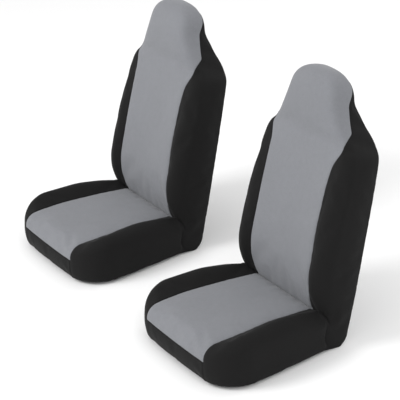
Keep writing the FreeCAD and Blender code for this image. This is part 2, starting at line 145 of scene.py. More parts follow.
def pchip(table, at):
    """Smooth curve through (place, value) rows that doesn't overshoot them."""
    table = np.asarray(table, float)
    knots, values = table[:, 0], table[:, 1]
    at = np.asarray(at, float)
    step = np.diff(knots)
    slope = np.diff(values) / step
    grad = np.zeros_like(values)
    grad[0], grad[-1] = slope[0], slope[-1]
    for i in range(1, len(knots) - 1):
        if slope[i - 1] * slope[i] > 0:
            before, after = 2 * step[i] + step[i - 1], step[i] + 2 * step[i - 1]
            grad[i] = (before + after) / (before / slope[i - 1] + after / slope[i])
    i = np.clip(np.searchsorted(knots, at) - 1, 0, len(knots) - 2)
    t = np.clip((at - knots[i]) / step[i], 0, 1)
    return ((2 * t**3 - 3 * t**2 + 1) * values[i] + (t**3 - 2 * t**2 + t) * step[i] * grad[i]
            + (3 * t**2 - 2 * t**3) * values[i + 1] + (t**3 - t**2) * step[i] * grad[i + 1])


def in_mm(table, at):
    """The same curve with its table in millimetres and everything else in metres."""
    return 0.001 * pchip(table, 1000 * np.asarray(at, float))


def smoothstep(low, high, x):
    t = np.clip((np.asarray(x, float) - low) / (high - low), 0, 1)
    return t * t * (3 - 2 * t)


def lengths(points):
    """Running length along a polyline."""
    return np.concatenate([[0], np.cumsum(np.linalg.norm(np.diff(points, axis=0), axis=1))])


def walk(points, places):
    """Points at running lengths along a polyline."""
    run = lengths(points)
    return np.stack([np.interp(places, run, points[:, k]) for k in range(points.shape[1])], axis=1)


def spread(start, end, count, seam_start=True, seam_end=True):
    """Count + 1 places from start to end, with close lines beside the seams."""
    near = min(SEAM_HALF, 0.06 * abs(end - start))
    first = [0, near, 3 * near] if seam_start else [0]
    last = [3 * near, near, 0] if seam_end else [0]
    first = [start + gap for gap in first]
    last = [end - gap for gap in last]
    inner = np.linspace(first[-1], last[0], count + 3 - len(first) - len(last))
    return np.concatenate([first[:-1], inner, last[1:]])


# ---------------------------------------------------------------- backrest form, in its leaning axes

def back_table():
    """Section values as smooth functions of height."""
    table = np.array(BACK_SECTIONS, float)
    fine = np.arange(table[0, 0], table[-1, 0] + 1, 2.0)
    kernel = np.exp(-0.5 * (np.arange(-12, 13) / 4.0) ** 2)
    kernel /= kernel.sum()
    rows = {}
    for column, field in enumerate(BACK_FIELDS, start=1):
        raw = pchip(table[:, (0, column)], fine)
        ends = np.concatenate([2 * raw[0] - raw[12:0:-1], raw, 2 * raw[-1] - raw[-2:-14:-1]])
        rows[field] = 0.001 * np.convolve(ends, kernel, "valid")
    return 0.001 * fine, rows


FINE_UP, FINE_ROWS = back_table()
FLAT_STEPS = 60
BEND_STEPS = 24
SIDE_STEPS = 30
REAR_BEND_STEPS = 12


def back_section(up):
    """Half of a section as (across, depth) points from front centre to rear centre, before and after the
    dome draws it in, with the values it was made from."""
    s = {field: float(np.interp(up, FINE_UP, FINE_ROWS[field])) for field in BACK_FIELDS}
    half, bend_x, bend_y = s["half"], s["round_x"], s["round_y"]
    flat = half - bend_x
    x = np.linspace(0, flat, FLAT_STEPS)
    fall = np.clip(x / s["seam"], 0, 1) ** 2
    rise = smoothstep(s["seam"] - 0.004, max(flat, s["seam"] + 0.02), x)
    depth = s["centre"] + (s["valley"] - s["centre"]) * fall + (s["crest"] - s["valley"]) * rise
    turn = np.linspace(0, math.pi / 2, BEND_STEPS + 1)[1:]
    corner = np.stack([flat + bend_x * np.sin(turn), -depth[-1] + bend_y * (1 - np.cos(turn))], 1)
    down = np.linspace(0, 1, SIDE_STEPS + 1)[1:]
    side_start, side_end = -depth[-1] + bend_y, s["rear"] - REAR_ROUND
    side = np.stack([half + 0.003 * np.sin(math.pi * down), side_start + (side_end - side_start) * down], 1)
    turn = np.linspace(0, math.pi / 2, REAR_BEND_STEPS + 1)[1:]
    rear_bend = np.stack([half - REAR_ROUND * (1 - np.cos(turn)), side_end + REAR_ROUND * np.sin(turn)], 1)
    rear_x = np.linspace(half - REAR_ROUND, 0, FLAT_STEPS)[1:]
    rear = np.stack([rear_x, s["rear"] + REAR_CROWN * (1 - (rear_x / (half - REAR_ROUND)) ** 2)], 1)
    base = np.concatenate([np.stack([x, -depth], 1), corner, side, rear_bend, rear])
    share = np.clip((up - DOME_FOOT) / (DOME_TOP - DOME_FOOT), 0, 1)
    scale = (1 - share**DOME_POWER) ** (1 / DOME_POWER)
    middle = 0.5 * (s["rear"] - s["centre"]) + DOME_REAR * share
    curve = np.stack([base[:, 0] * scale, middle + (base[:, 1] - middle) * (0.05 + 0.95 * scale)], 1)
    return base, curve, s


def seam_runs(up, base, curve, s):
    """Where the front and the rear seam lie along a section.

    The front seam runs up the chest, out to the collar's corner and up the side of the head, where it
    closes on the rear seam below the crown.
    """
    run = lengths(curve)
    rear = run[FLAT_STEPS + BEND_STEPS + SIDE_STEPS + REAR_BEND_STEPS // 2]
    chest = np.interp(s["seam"], base[:FLAT_STEPS, 0], run[:FLAT_STEPS])
    side = slice(FLAT_STEPS, FLAT_STEPS + BEND_STEPS + SIDE_STEPS)
    depth = np.interp(up, (COLLAR, DOME_FOOT), HEAD_SEAM)
    head = np.interp(depth, base[side, 1], run[side])
    out = np.clip((up - SHOULDER_SEAM) / (COLLAR - SHOULDER_SEAM), 0, 1) ** 2.0
    front = chest + (head - chest) * out
    return front + (rear - front) * smoothstep(DOME_FOOT - 0.02, CROWN_SEAM, up), rear


def back_row(up):
    """One row of the backrest: grey, black and rear columns, as (across, depth, up) points."""
    base, curve, s = back_section(up)
    front, rear = seam_runs(up, base, curve, s)
    total = lengths(curve)[-1]
    places = np.concatenate([
        spread(0, front, GREY_COLUMNS, seam_start=False),
        spread(front, rear, BLACK_COLUMNS)[1:],
        spread(rear, total, REAR_COLUMNS, seam_end=False)[1:],
    ])
    flat = walk(curve, places)
    return np.column_stack([flat, np.full(len(flat), up)])


def lean_back(points):
    """Leaning axes (across, depth, up) to the cover's own axes."""
    across, depth, up = points[..., 0], points[..., 1], points[..., 2]
    rear = PIVOT_REAR + up * math.sin(LEAN) + depth * math.cos(LEAN)
    high = PIVOT_UP + up * math.cos(LEAN) - depth * math.sin(LEAN)
    return np.stack([across, rear, high], -1)


# ---------------------------------------------------------------- seat bottom form

def seat_half(rear):
    """Half width of the seat bottom's plan outline."""
    gap = np.clip(CORNER_ROUND - np.asarray(rear, float), 0, CORNER_ROUND)
    corner = CORNER_X + np.sqrt(CORNER_ROUND**2 - gap**2)
    return np.where(np.asarray(rear) < CORNER_ROUND, corner, in_mm(SIDE_LINE, rear))


def edge_distance(x, rear):
    """How far a point lies inside the plan outline."""
    corner = CORNER_ROUND - np.hypot(x - CORNER_X, rear - CORNER_ROUND)
    inside_corner = (x > CORNER_X) & (rear < CORNER_ROUND)
    straight = np.where(rear < CORNER_ROUND, rear, seat_half(rear) - x)
    return np.where(inside_corner, corner, straight)


def seat_height(x, rear):
    """Height of the seat bottom's top, with its rounded-over edge."""
    x, rear = np.broadcast_arrays(np.asarray(x, float), np.asarray(rear, float))
    crown, crest, seam = in_mm(CROWN_LINE, rear), in_mm(CREST_LINE, rear), in_mm(SEAM_LINE, rear)
    rise = crown - 0.003 * np.clip(x / seam, 0, 1) ** 2
    rise = rise + (crest - crown + 0.003) * smoothstep(seam - 0.004, seam + 0.06, x)
    t = np.clip((EDGE_ROUND - edge_distance(x, rear)) / EDGE_ROUND, 0, 1)
    return rise - EDGE_ROUND * (1 - np.sqrt(1 - t * t))


def rib(rear):
    """A line over the seat's side: from the seam out to the edge, down the wall and under at the hem."""
    start = np.array([float(in_mm(SEAM_LINE, rear)), rear])
    last_turn = math.asin((float(in_mm(SEAM_LINE, FRONT_ROW)) - CORNER_X) / CORNER_ROUND)
    if rear < FAN_ROW:
        turn = last_turn + (math.pi / 2 - last_turn) * (rear - FRONT_ROW) / (FAN_ROW - FRONT_ROW)
        out = np.array([math.sin(turn), -math.cos(turn)])
        end = np.array([CORNER_X, CORNER_ROUND]) + CORNER_ROUND * out
    else:
        out = np.array([1.0, 0.0])
        along = CORNER_ROUND + (rear - FAN_ROW) * (SEAT_END - CORNER_ROUND) / (SEAT_END - FAN_ROW)
        end = np.array([float(seat_half(along)), along])
    front_share = max(0.0, -out[1])
    under = 0.013 + 0.014 * front_share
    floor = 0.0025 + 0.004 * front_share
    u = 1 - (1 - np.linspace(0, 1, 50)) ** 2
    plan = start + (end - start) * u[:, None]
    top = np.column_stack([plan, seat_height(plan[:, 0], plan[:, 1])])
    u = np.linspace(0, 1, 30)[1:]
    wall_high = top[-1, 2] + (floor + under - top[-1, 2]) * u
    wall = np.column_stack([end + out * (0.003 * np.sin(math.pi * u))[:, None], wall_high])
    turn = np.linspace(0, math.pi / 2, 12)[1:]
    tuck = np.column_stack([end - out * (under * (1 - np.cos(turn)))[:, None],
                            floor + under * (1 - np.sin(turn))])
    run = np.append(end - out * (under + HEM_RUN), floor)[None]
    return np.concatenate([top, wall, tuck, run])


def rib_places(line, low_mark=None):
    """Places along a rib: close beside the seam, and six in the part that turns under."""
    total = lengths(line)[-1]
    tuck = total - 0.036
    if low_mark is None:
        upper = spread(0, tuck, BLACK_COLUMNS - 6, seam_end=False)
    else:
        first = spread(0, low_mark, BAND_COLUMN)
        second = spread(low_mark, tuck, BLACK_COLUMNS - 6 - BAND_COLUMN, seam_end=False)
        upper = np.concatenate([first, second[1:]])
    return np.concatenate([upper, np.linspace(tuck, total, 7)[1:]])


def junction():
    """The line on the side where the seat bottom's cloth meets the backrest's, from the seam at the bight
    to the bottom of the round end."""
    seam = 0.156
    side = 0.2475
    bend = 0.026
    u = np.linspace(0, 1, 12)[:, None]
    top = np.array([seam, BIGHT_REAR, BIGHT_HIGH]) + u * np.array([side - bend - seam, -0.001, 0.008])
    turn = np.linspace(0, math.pi / 2, 10)[1:]
    corner = np.column_stack([side - bend + bend * np.sin(turn),
                              BIGHT_REAR - 0.001 - 0.006 * (1 - np.cos(turn)),
                              BIGHT_HIGH + 0.008 - 0.020 * (1 - np.cos(turn))])
    rounds = np.linspace(math.pi, 1.5 * math.pi, 16)
    circle = np.column_stack([np.full(16, side), PIVOT_REAR + ROUND_END * np.cos(rounds),
                              PIVOT_UP + ROUND_END * np.sin(rounds)])
    return np.concatenate([top, corner, circle])


# ---------------------------------------------------------------- one welded skin

class Skin:
    """Quads of a cover's +X half, each with its panel; the other half is added by mirroring."""

    def __init__(self):
        self.points = []
        self.faces = []
        self.panels = []
        self.count = 0

    def add(self, rows, panel):
        """A grid of points; panel is a name or a function of (row, column)."""
        height, width = rows.shape[:2]
        for mirror in (1, -1):
            self.points.append(rows.reshape(-1, 3) * np.array([mirror, 1, 1]))
            for i in range(height - 1):
                for j in range(width - 1):
                    name = panel(i, j) if callable(panel) else panel
                    if mirror < 0:
                        name = name.replace("left", "right")
                    corner = self.count + i * width + j
                    self.faces.append((corner, corner + 1, corner + width + 1, corner + width))
                    self.panels.append(PANELS.index(name))
            self.count += height * width

    def mesh(self):
        """The whole cover as one mesh, welded along its seams, with normals out and panels as slots."""
        points = np.concatenate(self.points)
        shell = bmesh.new()
        corners = [shell.verts.new(point) for point in points]
        for face, panel in zip(self.faces, self.panels):
            shell.faces.new([corners[index] for index in face]).material_index = panel
        bmesh.ops.remove_doubles(shell, verts=shell.verts[:], dist=0.00035)
        bmesh.ops.dissolve_degenerate(shell, dist=0.0002, edges=shell.edges[:])
        bmesh.ops.recalc_face_normals(shell, faces=shell.faces[:])
        top = max(shell.faces, key=lambda f: f.normal.z * (f.material_index == TOP_PANEL) * f.calc_area())
        low = min(shell.faces, key=lambda f: f.normal.z * (f.material_index == TOP_PANEL) * f.calc_area())
        if abs(low.normal.z) * low.calc_area() > abs(top.normal.z) * top.calc_area():
            bmesh.ops.reverse_faces(shell, faces=shell.faces[:])
        mesh = bpy.data.meshes.new("cover_skin")
        shell.to_mesh(mesh)
        shell.free()
        return mesh


def backrest_rows():
    chest = np.arange(BIGHT_UP, 0.575, 0.0105)
    shoulder = np.arange(0.580, 0.665, 0.006)
    head = np.linspace(0.668, DOME_FOOT, 9)
    turn = np.linspace(0, math.pi / 2, 15)[1:]
    dome = DOME_FOOT + (DOME_TOP - DOME_FOOT) * np.sin(turn) ** (2 / DOME_POWER)
    return np.concatenate([chest, shoulder, head, dome])


def add_backrest(skin):
    ups = backrest_rows()
    rows = np.stack([back_row(up) for up in ups])

    def panel(i, j):
        if 0.5 * (ups[i] + ups[i + 1]) > CROWN_SEAM or j < GREY_COLUMNS:
            return "back_centre_panel"
        if j < GREY_COLUMNS + BLACK_COLUMNS:
            return "back_left_side"
        return "back_rear_panel"

    skin.add(lean_back(rows), panel)
    return rows[0]


def add_back_foot(skin, first_row):
    """The backrest's cloth below the bight: crease in front, round ends at the sides, hem at the rear."""
    turns = np.radians([74, 66, 58, 50.5, 43, 36, 27, 18, 9, 0])
    heights = [0.021, 0.042, BIGHT_UP]
    rear_line = first_row[GREY_COLUMNS + BLACK_COLUMNS:]
    side_top = lean_back(first_row[GREY_COLUMNS:GREY_COLUMNS + BLACK_COLUMNS + 1])
    grey_top = lean_back(first_row[:GREY_COLUMNS + 1])
    bottom = junction()
    side_bottom = walk(bottom, spread(0, lengths(bottom)[-1], BLACK_COLUMNS))
    rear_rows = []
    for turn in turns:
        low = math.sin(turn) / math.sin(turns[0])
        wide = 1 + (bottom[-1, 0] / rear_line[0, 0] - 1) * low
        reach = rear_line[:, 1] + (ROUND_END - rear_line[:, 1]) * low
        rear_rows.append(np.column_stack([rear_line[:, 0] * wide, reach * math.cos(turn),
                                          -reach * math.sin(turn)]))
    for up in heights:
        rear_rows.append(np.column_stack([rear_line[:, :2], np.full(len(rear_line), up)]))
    rear_rows = lean_back(np.stack(rear_rows))
    rows = len(rear_rows)
    share = np.linspace(0, 1, rows)
    ease = np.column_stack([share, share, 1 - (1 - share) ** 2])
    left = side_bottom[0] + (side_top[0] - side_bottom[0]) * ease
    right = rear_rows[:, 0]
    u = np.linspace(0, 1, BLACK_COLUMNS + 1)[None, :, None]
    v = share[:, None, None]
    patch = ((1 - v) * side_bottom[None] + v * side_top[None] + (1 - u) * left[:, None] + u * right[:, None]
             - (1 - u) * (1 - v) * side_bottom[0] - u * (1 - v) * side_bottom[-1]
             - (1 - u) * v * side_top[0] - u * v * side_top[-1])
    skin.add(patch, "back_left_side")
    hem_first = 2
    hem_last = 5
    skin.add(rear_rows[hem_first:],
             lambda i, j: "back_hem" if i + hem_first < hem_last else "back_rear_panel")
    level = np.ones(len(grey_top))
    crease = np.column_stack([grey_top[:, 0], BIGHT_REAR * level, BIGHT_HIGH * level])
    crease[:, 0] *= side_bottom[0, 0] / grey_top[-1, 0]
    skin.add(crease[None] + (grey_top - crease)[None] * ease[:, None], "back_centre_panel")
    return crease, side_bottom


def add_seat(skin, crease, side_bottom):
    rears = np.concatenate([np.linspace(SEAT_END, FAN_ROW, 27), np.linspace(FAN_ROW, FRONT_ROW, 19)[1:]])
    ribs = [rib(rear) for rear in rears]
    last = ribs[-1]
    mark = lengths(last)[int(np.argmin(np.abs(last[:, 2] - BAND_HIGH) + (last[:, 1] > 0.02)))]
    side_rows = []
    for line, rear in zip(ribs, rears):
        plain, marked = rib_places(line), rib_places(line, min(mark, 0.9 * (lengths(line)[-1] - 0.036)))
        toward = smoothstep(FAN_ROW, FRONT_ROW, rear)
        side_rows.append(walk(line, plain + (marked - plain) * toward))
    side_rows = np.stack(side_rows)

    seams = side_rows[:, 0]
    fractions = spread(0, 0.155, GREY_COLUMNS, seam_start=False) / 0.155
    x = fractions[None] * seams[:, :1]
    rear = np.repeat(seams[:, 1:2], GREY_COLUMNS + 1, axis=1)
    grey_rows = np.stack([x, rear, seat_height(x, rear)], -1)

    share = np.linspace(0, 1, 7)[:-1]
    ease = np.column_stack([share, share, share**2.4])[:, None]
    crease = np.column_stack([fractions * side_bottom[0, 0], crease[:, 1], crease[:, 2]])
    grey_bight = (grey_rows[0][None] + (crease - grey_rows[0])[None] * ease)[::-1]
    side_bight = (side_rows[0][None] + (side_bottom - side_rows[0])[None] * ease)[::-1]
    skin.add(np.concatenate([crease[None], grey_bight, grey_rows[1:]]), "seat_top_panel")
    skin.add(np.concatenate([side_bottom[None], side_bight, side_rows[1:]]), "seat_left_side")

    front = side_rows[-1]
    progress = np.clip((FRONT_ROW - front[:, 1]) / FRONT_ROW, 0, 1)[:, None]
    x = fractions[None] * front[:, :1]
    step = grey_rows[-1][:, 2] - grey_rows[-1][-1, 2]
    edge = front[BAND_COLUMN, 1]
    rear = front[:, 1:2] - edge * (1 - fractions[None] ** 2) * progress
    high = front[:, 2:3] + step[None] * (1 - progress)
    face = np.stack([x, rear, high], -1)
    skin.add(face, lambda i, j: "seat_top_panel" if i < BAND_COLUMN else "seat_front_band")


def cover_skin():
    skin = Skin()
    first_row = add_backrest(skin)
    crease, side_bottom = add_back_foot(skin, first_row)
    add_seat(skin, crease, side_bottom)
    return skin.mesh()


# ---------------------------------------------------------------- softening the skin

def seam_sets(mesh):
    """Points on seams and points on the open edge at the bottom."""
    shell = bmesh.new()
    shell.from_mesh(mesh)
    open_edge = {v.index for e in shell.edges if len(e.link_faces) == 1 for v in e.verts}
    seams = {v.index for v in shell.verts if len({f.material_index for f in v.link_faces}) > 1}
    shell.free()
    return seams, open_edge


def points_of(mesh):
    flat = np.empty(3 * len(mesh.vertices))
    mesh.vertices.foreach_get("co", flat)
    return flat.reshape(-1, 3)


def normals_of(mesh):
    flat = np.empty(3 * len(mesh.vertices))
    mesh.vertex_normals.foreach_get("vector", flat)
    return flat.reshape(-1, 3)


def set_points(mesh, points):
    mesh.vertices.foreach_set("co", points.ravel())
    mesh.update()


PUFF_PRESSURE = 2.2
PUFF_FRAMES = 20
PUFF_CAP = 0.005


def puff(mesh, seams, open_edge):
    """Cloth under a little pressure, held at its seams and hem, as if drawn over a foam seat."""
    skin = bpy.data.objects.new("cover_cloth", mesh)
    bpy.context.collection.objects.link(skin)
    held = skin.vertex_groups.new(name="held")
    held.add(sorted(seams | open_edge), 1.0, "REPLACE")
    before = points_of(mesh)
    cloth = skin.modifiers.new("cloth", "CLOTH")
    cloth.settings.quality = 5
    cloth.settings.mass = 0.3
    cloth.settings.tension_stiffness = 40
    cloth.settings.compression_stiffness = 40
    cloth.settings.shear_stiffness = 20
    cloth.settings.bending_stiffness = 4
    cloth.settings.vertex_group_mass = held.name
    cloth.settings.use_pressure = True
    cloth.settings.uniform_pressure_force = PUFF_PRESSURE
    cloth.settings.shrink_min = -0.006
    cloth.settings.effector_weights.gravity = 0
    cloth.collision_settings.use_collision = False
    cloth.point_cache.frame_start = 1
    cloth.point_cache.frame_end = PUFF_FRAMES
    for number in range(1, PUFF_FRAMES + 1):
        bpy.context.scene.frame_set(number)
    seen = skin.evaluated_get(bpy.context.evaluated_depsgraph_get())
    after = points_of(seen.to_mesh())
    seen.to_mesh_clear()
    skin.modifiers.clear()
    bpy.context.scene.frame_set(1)
    bpy.data.objects.remove(skin)
    move = after - before
    far = np.linalg.norm(move, axis=1)
    move *= (PUFF_CAP * np.tanh(far / PUFF_CAP) / np.maximum(far, 1e-9))[:, None]
    set_points(mesh, before + move)


SEAM_DEEP = 0.0024
WAVE_HIGH = 0.0009


def soften(mesh):
    """Puffed panels, a low uneven wave in the cloth and a groove along every seam."""
    seams, open_edge = seam_sets(mesh)
    puff(mesh, seams, open_edge)
    points, normals = points_of(mesh), normals_of(mesh)
    held = np.zeros(len(points))
    held[sorted(seams | open_edge)] = 1
    for number, (point, normal) in enumerate(zip(points, normals)):
        wave = noise.noise(Vector(point * 14.0)) + 0.5 * noise.noise(Vector(point * 37.0))
        points[number] = point + normal * (WAVE_HIGH * wave * (1 - held[number]))
    sunk = sorted(seams - open_edge)
    points[sunk] -= SEAM_DEEP * normals[sunk]
    set_points(mesh, points)


def subdivided(mesh):
    carrier = bpy.data.objects.new("cover_fine", mesh)
    bpy.context.collection.objects.link(carrier)
    carrier.modifiers.new("fine", "SUBSURF").levels = 1
    seen = carrier.evaluated_get(bpy.context.evaluated_depsgraph_get())
    fine = bpy.data.meshes.new_from_object(seen)
    bpy.data.objects.remove(carrier)
    return fine


# ---------------------------------------------------------------- materials

def new_material(name):
    material = bpy.data.materials.new(name)
    material.use_nodes = True
    tree = material.node_tree
    shader = tree.nodes["Principled BSDF"]
    place = tree.nodes.new("ShaderNodeTexCoord").outputs["Object"]
    return material, tree, shader, place


def texture(tree, kind, place, scale, **values):
    node = tree.nodes.new(kind)
    tree.links.new(place, node.inputs["Vector"])
    node.inputs["Scale"].default_value = scale
    for key, value in values.items():
        node.inputs[key].default_value = value
    return node


def ramp(tree, factor, *stops):
    node = tree.nodes.new("ShaderNodeValToRGB")
    tree.links.new(factor, node.inputs["Fac"])
    elements = node.color_ramp.elements
    while len(elements) < len(stops):
        elements.new(0.5)
    for element, (place, color) in zip(elements, stops):
        element.position = place
        element.color = (*color, 1)
    return node.outputs["Color"]


def mix(tree, kind, factor, first, second):
    node = tree.nodes.new("ShaderNodeMix")
    node.data_type = "RGBA"
    node.blend_type = kind
    node.inputs["Factor"].default_value = factor
    tree.links.new(first, node.inputs["A"])
    tree.links.new(second, node.inputs["B"])
    return node.outputs["Result"]


def bump(tree, height, distance, strength, below=None):
    node = tree.nodes.new("ShaderNodeBump")
    tree.links.new(height, node.inputs["Height"])
    node.inputs["Distance"].default_value = distance
    node.inputs["Strength"].default_value = strength
    if below is not None:
        tree.links.new(below, node.inputs["Normal"])
    return node.outputs["Normal"]


def shade(color, factor):
    return tuple(channel * factor for channel in color)


def knit_material(name, color, contrast, sheen, rough, cell=750.0):
    """A flat knit: fine cells, soft mottling, a faint nap, and a little wear at a larger scale."""
    material, tree, shader, place = new_material(name)
    cells = texture(tree, "ShaderNodeTexVoronoi", place, cell)
    mottle = texture(tree, "ShaderNodeTexNoise", place, 60.0, Detail=6.0, Roughness=0.7)
    broad = texture(tree, "ShaderNodeTexNoise", place, 6.0, Detail=2.0)
    light, dark = shade(color, 1 + contrast), shade(color, 1 - 2 * contrast)
    fine = ramp(tree, cells.outputs["Distance"], (0.0, light), (0.75, dark))
    spots = ramp(tree, mottle.outputs["Fac"], (0.3, (1 - contrast,) * 3), (0.7, (1.0,) * 3))
    wide = ramp(tree, broad.outputs["Fac"], (0.3, (1 - 0.6 * contrast,) * 3), (0.7, (1.0,) * 3))
    base = mix(tree, "MULTIPLY", 1.0, mix(tree, "MULTIPLY", 1.0, fine, spots), wide)
    tree.links.new(base, shader.inputs["Base Color"])
    roughness = tree.nodes.new("ShaderNodeMapRange")
    tree.links.new(mottle.outputs["Fac"], roughness.inputs["Value"])
    roughness.inputs["To Min"].default_value = rough - 0.06
    roughness.inputs["To Max"].default_value = rough + 0.06
    tree.links.new(roughness.outputs["Result"], shader.inputs["Roughness"])
    shader.inputs["Sheen Weight"].default_value = sheen
    shader.inputs["Sheen Roughness"].default_value = 0.45
    shader.inputs["Specular IOR Level"].default_value = 0.25
    nap = bump(tree, mottle.outputs["Fac"], 0.0012, 0.25)
    tree.links.new(bump(tree, cells.outputs["Distance"], 0.0006, 0.35, nap), shader.inputs["Normal"])
    return material


def band_material(name, color, pitch, sheen, rough):
    """Woven webbing or elastic: fine cross ribs broken up by the weave."""
    material, tree, shader, place = new_material(name)
    ribs = texture(tree, "ShaderNodeTexWave", place, pitch, Distortion=0.6, Detail=2.0)
    ribs.bands_direction = "X"
    weave = texture(tree, "ShaderNodeTexVoronoi", place, 900.0)
    worn = texture(tree, "ShaderNodeTexNoise", place, 90.0, Detail=4.0)
    lines = ramp(tree, ribs.outputs["Fac"], (0.2, shade(color, 0.75)), (0.8, shade(color, 1.25)))
    spots = ramp(tree, worn.outputs["Fac"], (0.35, (0.85,) * 3), (0.7, (1.0,) * 3))
    tree.links.new(mix(tree, "MULTIPLY", 1.0, lines, spots), shader.inputs["Base Color"])
    shader.inputs["Roughness"].default_value = rough
    shader.inputs["Sheen Weight"].default_value = sheen
    low = bump(tree, ribs.outputs["Fac"], 0.0005, 0.5)
    tree.links.new(bump(tree, weave.outputs["Distance"], 0.0004, 0.4, low), shader.inputs["Normal"])
    return material


def plastic_material(name, color):
    """Moulded acetal: fine spark texture, slightly shinier where it is rubbed."""
    material, tree, shader, place = new_material(name)
    grain = texture(tree, "ShaderNodeTexNoise", place, 1400.0, Detail=3.0)
    rubbed = texture(tree, "ShaderNodeTexNoise", place, 70.0, Detail=4.0)
    tint = ramp(tree, rubbed.outputs["Fac"], (0.35, color), (0.75, shade(color, 1.5)))
    tree.links.new(tint, shader.inputs["Base Color"])
    gloss = ramp(tree, rubbed.outputs["Fac"], (0.3, (0.52,) * 3), (0.7, (0.36,) * 3))
    tree.links.new(gloss, shader.inputs["Roughness"])
    tree.links.new(bump(tree, grain.outputs["Fac"], 0.0002, 0.3), shader.inputs["Normal"])
    return material


def metal_material(name, color):
    """Zinc plate on drawn wire: bright, with faint draw lines and dull patches."""
    material, tree, shader, place = new_material(name)
    patches = texture(tree, "ShaderNodeTexNoise", place, 240.0, Detail=5.0)
    lines = texture(tree, "ShaderNodeTexNoise", place, 1800.0, Detail=2.0)
    tint = ramp(tree, patches.outputs["Fac"], (0.35, shade(color, 0.8)), (0.65, color))
    tree.links.new(tint, shader.inputs["Base Color"])
    dull = ramp(tree, patches.outputs["Fac"], (0.3, (0.42,) * 3), (0.7, (0.24,) * 3))
    tree.links.new(dull, shader.inputs["Roughness"])
    shader.inputs["Metallic"].default_value = 1.0
    tree.links.new(bump(tree, lines.outputs["Fac"], 0.0001, 0.3), shader.inputs["Normal"])
    return material


MATERIALS = {
    "grey_fabric": knit_material("grey_fabric_knit", (0.212, 0.218, 0.235), 0.07, 0.2, 0.86),
    "black_fabric": knit_material("black_fabric_knit", (0.0060, 0.0057, 0.0058), 0.16, 0.02, 0.86),
    "lining": knit_material("lining_tricot", (0.035, 0.035, 0.038), 0.12, 0.1, 0.8, 1100.0),
    "webbing": band_material("ribbed_webbing", (0.018, 0.018, 0.02), 330.0, 0.15, 0.62),
    "elastic": band_material("braided_elastic", (0.026, 0.026, 0.028), 520.0, 0.1, 0.7),
    "black_plastic": plastic_material("moulded_acetal", (0.018, 0.018, 0.019)),
    "hook_metal": metal_material("zinc_plated_wire", (0.56, 0.56, 0.57)),
}


# ---------------------------------------------------------------- cutting the skin into panels

def boundary_edges(faces):
    """Directed edges that only one face of the panel has."""
    edges = np.concatenate([faces[:, (k, (k + 1) % 4)] for k in range(4)])
    key = np.sort(edges, axis=1)
    order = np.lexsort((key[:, 1], key[:, 0]))
    sorted_key = key[order]
    same_next = np.append((sorted_key[1:] == sorted_key[:-1]).all(1), False)
    same_before = np.append(False, same_next[:-1])
    return edges[order[~(same_next | same_before)]]


def thick_panel(points, normals, faces, thickness):
    """A closed panel: outside, inside drawn in by the thickness, and walls along its edges."""
    used = np.unique(faces)
    local = np.full(len(points), -1)
    local[used] = np.arange(len(used))
    outer = points[used]
    inner = outer - thickness * normals[used]
    faces = local[faces]
    count = len(used)
    rim = boundary_edges(faces)
    walls = np.column_stack([rim[:, 1], rim[:, 0], rim[:, 0] + count, rim[:, 1] + count])
    all_faces = np.concatenate([faces, faces[:, ::-1] + count, walls])
    slots = np.concatenate([np.zeros(len(faces), int), np.ones(len(faces), int), np.zeros(len(walls), int)])
    return np.concatenate([outer, inner]), all_faces, slots


def new_piece(name, points, faces, slots, materials, sharp=50):
    mesh = bpy.data.meshes.new(name)
    mesh.from_pydata([tuple(point) for point in points], [], [tuple(int(i) for i in face) for face in faces])
    for material in materials:
        mesh.materials.append(material)
    if slots is not None:
        mesh.polygons.foreach_set("material_index", np.asarray(slots, dtype=np.int32))
    mesh.polygons.foreach_set("use_smooth", np.ones(len(mesh.polygons), dtype=bool))
    mesh.update()
    mesh.set_sharp_from_angle(angle=math.radians(sharp))
    piece = bpy.data.objects.new(name, mesh)
    bpy.context.collection.objects.link(piece)
    return piece


def in_cover(points, cover):
    return np.asarray(points) + np.array([MIDDLE[cover], FRONT, 0])


def fold(piece):
    """Bake a piece's placement into its mesh."""
    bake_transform(piece)


def make_panels(skin_mesh):
    points, normals = points_of(skin_mesh), normals_of(skin_mesh)
    corners = np.empty(len(skin_mesh.loops), dtype=np.int32)
    skin_mesh.loops.foreach_get("vertex_index", corners)
    faces = corners.reshape(-1, 4)
    panel_of = np.empty(len(skin_mesh.polygons), dtype=np.int32)
    skin_mesh.polygons.foreach_get("material_index", panel_of)
    for number, panel in enumerate(PANELS):
        slot = "grey_fabric" if panel in GREY else "black_fabric"
        thickness = 0.0055 if panel == "back_hem" else CLOTH
        shape, quads, slots = thick_panel(points, normals, faces[panel_of == number], thickness)
        for cover in COVERS:
            piece = new_piece(f"{cover}_{panel}_cloth", in_cover(shape, cover), quads, slots,
                              (MATERIALS[slot], MATERIALS["lining"]))
            fold(piece)
            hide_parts(f"{cover}_{panel}")


# ---------------------------------------------------------------- hems, straps and flap

def sweep(path, across, section):
    """A closed strip or tube: a section of (across, up) points carried along a path.

    section is one loop of points, or a function of the path's point number.
    """
    path = np.asarray(path, float)
    across = np.broadcast_to(np.asarray(across, float), path.shape)
    along = np.gradient(path, axis=0)
    along /= np.linalg.norm(along, axis=1)[:, None]
    side = across - along * (across * along).sum(1)[:, None]
    side /= np.linalg.norm(side, axis=1)[:, None]
    up = np.cross(side, along)
    rings = []
    for number in range(len(path)):
        loop = section(number) if callable(section) else section
        rings.append(path[number] + loop[:, :1] * side[number] + loop[:, 1:] * up[number])
    size = len(rings[0])
    points = np.concatenate(rings)
    faces = []
    for ring in range(len(path) - 1):
        for k in range(size):
            a, b = ring * size + k, ring * size + (k + 1) % size
            faces.append((a, b, b + size, a + size))
    faces.append(tuple(range(size))[::-1])
    faces.append(tuple(range(len(points) - size, len(points))))
    return points, faces


